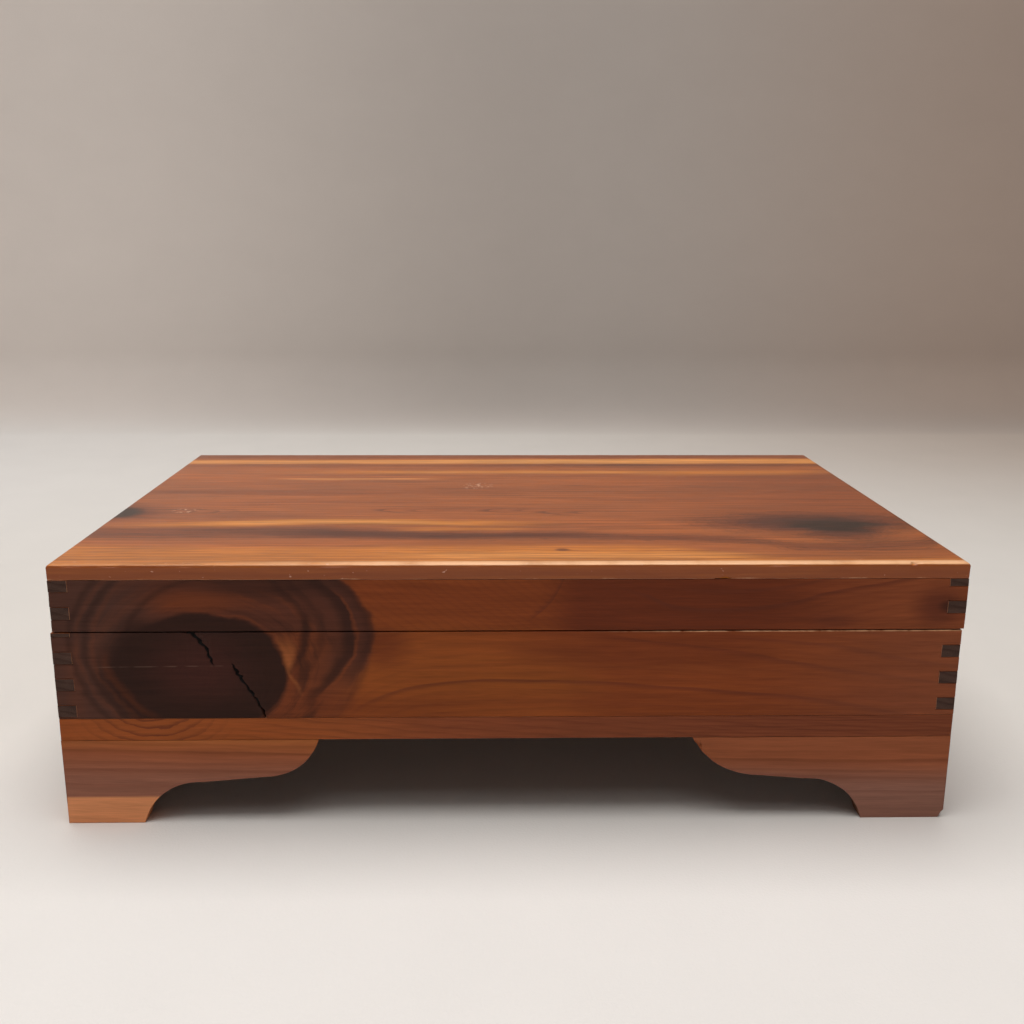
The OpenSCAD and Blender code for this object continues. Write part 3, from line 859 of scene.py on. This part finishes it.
def chip_cutter(name, centre, radii, seed, rough=0.5):
    """A rough lump, in millimetres, that breaks a chip out of an edge."""
    shape = bmesh.new()
    bmesh.ops.create_icosphere(shape, subdivisions=3, radius=1)
    for vertex in shape.verts:
        grown = 1 + noise.noise(vertex.co * 1.7 + Vector((seed, 0, 0))) * rough
        vertex.co = Vector([(c + r * p * grown) * MM for c, r, p in zip(centre, radii, vertex.co)])
    mesh = bpy.data.meshes.new(name)
    shape.to_mesh(mesh)
    shape.free()
    return bpy.data.objects.new(name, mesh)


def carve(piece, cutters):
    """Cuts the cutters out of a piece's mesh for good."""
    for cutter in cutters:
        bpy.context.scene.collection.objects.link(cutter)
        cut = piece.modifiers.new("carve", "BOOLEAN")
        cut.operation = "DIFFERENCE"
        cut.solver = "MANIFOLD"
        cut.object = cutter
    weighted = piece.modifiers.get("even_normals")
    if weighted:
        piece.modifiers.remove(weighted)
    view = bpy.context.evaluated_depsgraph_get()
    mesh = bpy.data.meshes.new_from_object(piece.evaluated_get(view))
    piece.modifiers.clear()
    piece.data = mesh
    for cutter in cutters:
        bpy.data.objects.remove(cutter)
    even_normals(piece)


# Cracks in the knot, from the parting down: (x, z, half width)
UPPER_CRACK = [
    (-108.2, 70.5, 1.1), (-106.4, 69.2, 1.0), (-104.4, 67.6, 0.75), (-102.8, 65.4, 0.7),
    (-101.5, 63.2, 0.7), (-100.7, 60.8, 0.6), (-100.0, 58.9, 0.45), (-99.7, 57.6, 0.12),
]
LOWER_CRACK = [
    (-93.6, 58.6, 0.3), (-92.5, 56.4, 0.65), (-91.1, 54.0, 0.7), (-89.8, 51.6, 0.6),
    (-88.3, 49.4, 0.6), (-86.6, 46.8, 0.5), (-85.4, 44.4, 0.4), (-83.8, 41.6, 0.35),
    (-82.9, 38.4, 0.25),
]


def make_metal(node, arris=0.08 * MM):
    """A hinge piece with its sharp edges just broken."""
    shape = worn_shape(node, None, arris, 0, 0)
    mesh = bpy.data.meshes.new(node + "_broken_edges")
    shape.to_mesh(mesh)
    shape.free()
    mesh.materials.append(BRASS)
    even_normals(new_object(node + "_broken_edges", mesh, node))


make_camera()
make_lights()
make_stage()

BRASS = brass_material()
BARE_X = bare_material("bare_along_x", "x", "y", "z", 51)
BARE_WALL_X = bare_material("bare_wall_along_x", "x", "z", "y", 53)
BARE_WALL_Y = bare_material("bare_wall_along_y", "y", "z", "x", 57)
BARE_Z = bare_material("bare_along_z", "z", "x", "y", 59)
END_X = end_material("end_grain_x", "y", "z", 61, PANEL_END)
FINGER_X = end_material("finger_end_x", "y", "z", 63, FINGER_END)
FINGER_Y = end_material("finger_end_y", "x", "z", 67, FINGER_END)
FRONT = front_material()
PANEL = panel_material()
BACK = plain_board("cedar_back", "x", "z", "y", 71)
SIDE = plain_board("cedar_side", "y", "z", "x", 83)
BOTTOM_EDGE = bottom_edge_material()
FOOT_X = foot_material("cedar_foot_x", "x")
FOOT_Y = foot_material("cedar_foot_y", "y")

ARRIS = 0.18 * MM
WEAR = 0.15 * MM
boards = {}
for seed, half in enumerate(("lid", "base")):
    for turn, (side, inward) in enumerate((("front", (0, 1, 0)), ("back", (0, -1, 0)))):
        node = f"{half}_{side}_board"
        outer = FRONT if side == "front" else BACK
        boards[node] = make_board(
            node, 0, [outer, FINGER_X, BARE_WALL_X], faces(inward), ARRIS, WEAR, seed + 10 * turn)
    for turn, (side, inward) in enumerate((("left", (1, 0, 0)), ("right", (-1, 0, 0)))):
        node = f"{half}_{side}_board"
        boards[node] = make_board(
            node, 1, [SIDE, FINGER_Y, BARE_WALL_Y], faces(inward), ARRIS, WEAR,
            seed + 20 + 5 * turn)
boards["lid_top_panel"] = make_board(
    "lid_top_panel", 0, [PANEL, END_X, BARE_X], faces((0, 0, -1)), 0.3 * MM, 0.25 * MM, 40)
make_board(
    "bottom_board", 0, [BOTTOM_EDGE, END_X, BARE_X], bottom_is_bare, 0.25 * MM, WEAR, 50)
for y_side in ("front", "back"):
    for x_side in ("left", "right"):
        foot = f"foot_{y_side}_{x_side}"
        seed = len(foot)
        boards[foot] = make_board(
            foot + "_face", 0, [FOOT_X, FOOT_X, BARE_WALL_X], foot_is_bare, 0.3 * MM, WEAR, seed)
        boards[foot + "_return"] = make_board(
            foot + "_return", 1, [FOOT_Y, FOOT_Y, BARE_WALL_Y], foot_is_bare,
            0.3 * MM, WEAR, seed + 3)
        make_board(
            foot + "_block", 2, [BARE_Z, BARE_Z, BARE_Z], foot_is_bare, 0.4 * MM, WEAR, seed + 7)

front_mm = FRONT_Y / MM
carve(boards["base_front_board"], [
    crack_cutter("upper_crack", jagged(UPPER_CRACK, 2), 5.0),
    crack_cutter("lower_crack", jagged(LOWER_CRACK, 7), 5.0),
])
carve(boards["lid_top_panel"], [
    chip_cutter("edge_chip", (70, front_mm, 87.6), (3.2, 0.9, 0.9), 3),
    chip_cutter("arris_chip", (134, front_mm + 0.3, 93.1), (1.4, 0.9, 0.7), 5),
])
TOE_CHIP = ((158.0, front_mm, -2.2), (8, 8, 8), 11, 0.06)
carve(boards["foot_front_right"], [
    chip_cutter("cove_chip", (64.6, front_mm, 27.5), (1.6, 1.4, 2.2), 8),
    chip_cutter("face_chip", *TOE_CHIP),
])
carve(boards["foot_front_right_return"], [chip_cutter("return_chip", *TOE_CHIP)])
for node, slot in SLOT_OF.items():
    if slot == "hinge_brass":
        make_metal(node)
